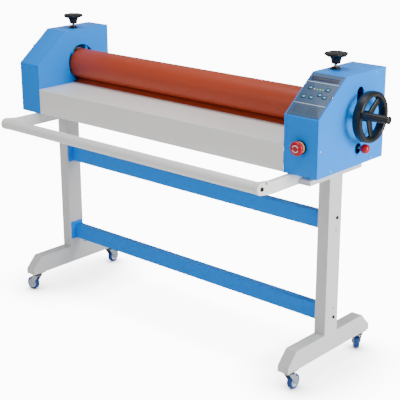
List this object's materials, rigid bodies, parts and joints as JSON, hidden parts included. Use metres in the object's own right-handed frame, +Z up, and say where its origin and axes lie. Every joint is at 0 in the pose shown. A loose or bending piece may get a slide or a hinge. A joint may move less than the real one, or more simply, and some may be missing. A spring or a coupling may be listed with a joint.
{
  "type": "cold_roll_laminator",
  "caption": "Cold roll laminator on a wheeled T-leg stand: two rubber rollers between blue side housings, feed and exit tables, film bar, pressure knobs, handwheel and control panel.",
  "frame": {"origin": "middle of the bounding box on the floor, under the casters", "axes": "+Z up; +X along the rollers towards the handwheel end; +Y from the feed side to the exit side"},
  "size_m": [1.7734, 0.683, 1.2403],
  "materials": {
    "blue_paint": "satin powder coat",
    "grey_paint": "satin powder coat",
    "silicone": "matte",
    "steel": "satin",
    "zinc": "bright zinc plate",
    "black_plastic": "satin",
    "red_plastic": "gloss",
    "overlay_film": "fine matte film",
    "blue_tread": "satin",
    "rubber": "matte",
    "motor_paint": "satin"
  },
  "bodies": {
    "frame": {"control_overlay": "overlay_film", "cross_tie": "steel", "drive_chain": "steel", "exit_table": "grey_paint", "feed_table": "grey_paint", "gear_motor": "motor_paint", "left_arm": "grey_paint", "left_collar_nut": "black_plastic", "left_cover": "blue_paint", "left_end_panel": "blue_paint", "left_front_caster_plate": "zinc", "left_front_pad": "rubber", "left_head_bar": "grey_paint", "left_leg": "grey_paint", "left_lower_block": "steel", "left_rear_caster_plate": "zinc", "left_rear_pad": "rubber", "left_side_frame": "blue_paint", "lower_crossbar": "blue_paint", "power_inlet": "black_plastic", "right_arm": "grey_paint", "right_collar_nut": "black_plastic", "right_cover": "blue_paint", "right_end_panel": "blue_paint", "right_front_caster_plate": "zinc", "right_front_pad": "rubber", "right_head_bar": "grey_paint", "right_leg": "grey_paint", "right_lower_block": "steel", "right_rear_caster_plate": "zinc", "right_rear_pad": "rubber", "right_side_frame": "blue_paint", "stop_button_body": "black_plastic", "upper_crossbar": "blue_paint"},
    "roller_carriage": {"left_upper_block": "steel", "right_upper_block": "steel"},
    "upper_roller": {"upper_roller_core": "steel", "upper_roller_sleeve": "silicone", "handwheel": "black_plastic"},
    "crank_handle": {"crank_handle": "black_plastic"},
    "lower_roller": {"lower_roller_core": "steel", "lower_roller_sleeve": "silicone", "roller_sprocket": "steel"},
    "motor_output": {"motor_sprocket": "steel"},
    "left_knob": {"left_knob": "black_plastic", "left_pressure_screw": "steel"},
    "right_knob": {"right_knob": "black_plastic", "right_pressure_screw": "steel"},
    "clutch_rod": {"clutch_rod": "red_plastic"},
    "stop_button": {"stop_button_head": "red_plastic"},
    "power_switch": {"rocker_switch": "red_plastic"},
    "film_bar": {"film_bar": "grey_paint"},
    "left_front_fork": {"left_front_caster_fork": "zinc"},
    "left_front_wheel": {"left_front_caster_wheel": "blue_tread"},
    "left_rear_fork": {"left_rear_caster_fork": "zinc"},
    "left_rear_wheel": {"left_rear_caster_wheel": "blue_tread"},
    "right_front_fork": {"right_front_caster_fork": "zinc"},
    "right_front_wheel": {"right_front_caster_wheel": "blue_tread"},
    "right_rear_fork": {"right_rear_caster_fork": "zinc"},
    "right_rear_wheel": {"right_rear_caster_wheel": "blue_tread"}
  },
  "joints": [
    {"name": "roller_lift", "type": "slide", "parent": "frame", "child": "roller_carriage", "axis": [0, 0, 1], "range_m": [0, 0.016]},
    {"name": "upper_roller_spin", "type": "hinge", "parent": "roller_carriage", "child": "upper_roller", "pos_m": [-0.10165, 0.09605, 1.027], "axis": [1, 0, 0], "continuous": true},
    {"name": "crank_handle_spin", "type": "hinge", "parent": "upper_roller", "child": "crank_handle", "pos_m": [0.77465, 0.01578, 1.05002], "axis": [1, 0, 0], "continuous": true},
    {"name": "lower_roller_spin", "type": "hinge", "parent": "frame", "child": "lower_roller", "pos_m": [-0.10165, 0.09605, 0.9067], "axis": [1, 0, 0], "continuous": true},
    {"name": "motor_output_spin", "type": "hinge", "parent": "frame", "child": "motor_output", "pos_m": [0.62135, -0.05196, 0.918], "axis": [1, 0, 0], "continuous": true},
    {"name": "left_knob_turn", "type": "hinge", "parent": "frame", "child": "left_knob", "pos_m": [-0.81265, 0.09605, 1.2338], "axis": [0, 0, 1], "range_deg": [0, 2880]},
    {"name": "right_knob_turn", "type": "hinge", "parent": "frame", "child": "right_knob", "pos_m": [0.59935, 0.09605, 1.2338], "axis": [0, 0, 1], "range_deg": [0, 2880]},
    {"name": "clutch_pull", "type": "slide", "parent": "frame", "child": "clutch_rod", "axis": [1, 0, 0], "range_m": [0, 0.012]},
    {"name": "stop_button_press", "type": "slide", "parent": "frame", "child": "stop_button", "axis": [0, 1, 0], "range_m": [0, 0.005]},
    {"name": "power_switch_rock", "type": "hinge", "parent": "frame", "child": "power_switch", "pos_m": [0.63685, 0.25905, 0.9525], "axis": [-1, 0, 0], "range_deg": [0, 11]},
    {"name": "film_bar_spin", "type": "hinge", "parent": "frame", "child": "film_bar", "pos_m": [-0.10165, -0.31795, 0.823], "axis": [1, 0, 0], "continuous": true},
    {"name": "left_front_swivel", "type": "hinge", "parent": "frame", "child": "left_front_fork", "pos_m": [-0.82765, -0.16895, 0.05], "axis": [0, 0, 1], "continuous": true},
    {"name": "left_front_roll", "type": "hinge", "parent": "left_front_fork", "child": "left_front_wheel", "pos_m": [-0.85538, -0.17285, 0.03], "axis": [0.1392, -0.9903, 0], "continuous": true},
    {"name": "left_rear_swivel", "type": "hinge", "parent": "frame", "child": "left_rear_fork", "pos_m": [-0.82765, 0.28304, 0.05], "axis": [0, 0, 1], "continuous": true},
    {"name": "left_rear_roll", "type": "hinge", "parent": "left_rear_fork", "child": "left_rear_wheel", "pos_m": [-0.83155, 0.31077, 0.03], "axis": [-0.9903, -0.1392, 0], "continuous": true},
    {"name": "right_front_swivel", "type": "hinge", "parent": "frame", "child": "right_front_fork", "pos_m": [0.62435, -0.16895, 0.05], "axis": [0, 0, 1], "continuous": true},
    {"name": "right_front_roll", "type": "hinge", "parent": "right_front_fork", "child": "right_front_wheel", "pos_m": [0.62337, -0.14097, 0.03], "axis": [-0.9994, -0.0349, 0], "continuous": true},
    {"name": "right_rear_swivel", "type": "hinge", "parent": "frame", "child": "right_rear_fork", "pos_m": [0.62435, 0.28304, 0.05], "axis": [0, 0, 1], "continuous": true},
    {"name": "right_rear_roll", "type": "hinge", "parent": "right_rear_fork", "child": "right_rear_wheel", "pos_m": [0.60561, 0.30385, 0.03], "axis": [-0.7431, -0.6691, 0], "continuous": true}
  ],
  "couplings": [
    {"joint": "lower_roller_spin", "follows": "upper_roller_spin", "ratio": -1.1818},
    {"joint": "motor_output_spin", "follows": "upper_roller_spin", "ratio": -2.3636},
    {"joint": "left_knob_turn", "follows": "roller_lift", "rad_per_m": 3141.5},
    {"joint": "right_knob_turn", "follows": "roller_lift", "rad_per_m": 3141.5}
  ]
}
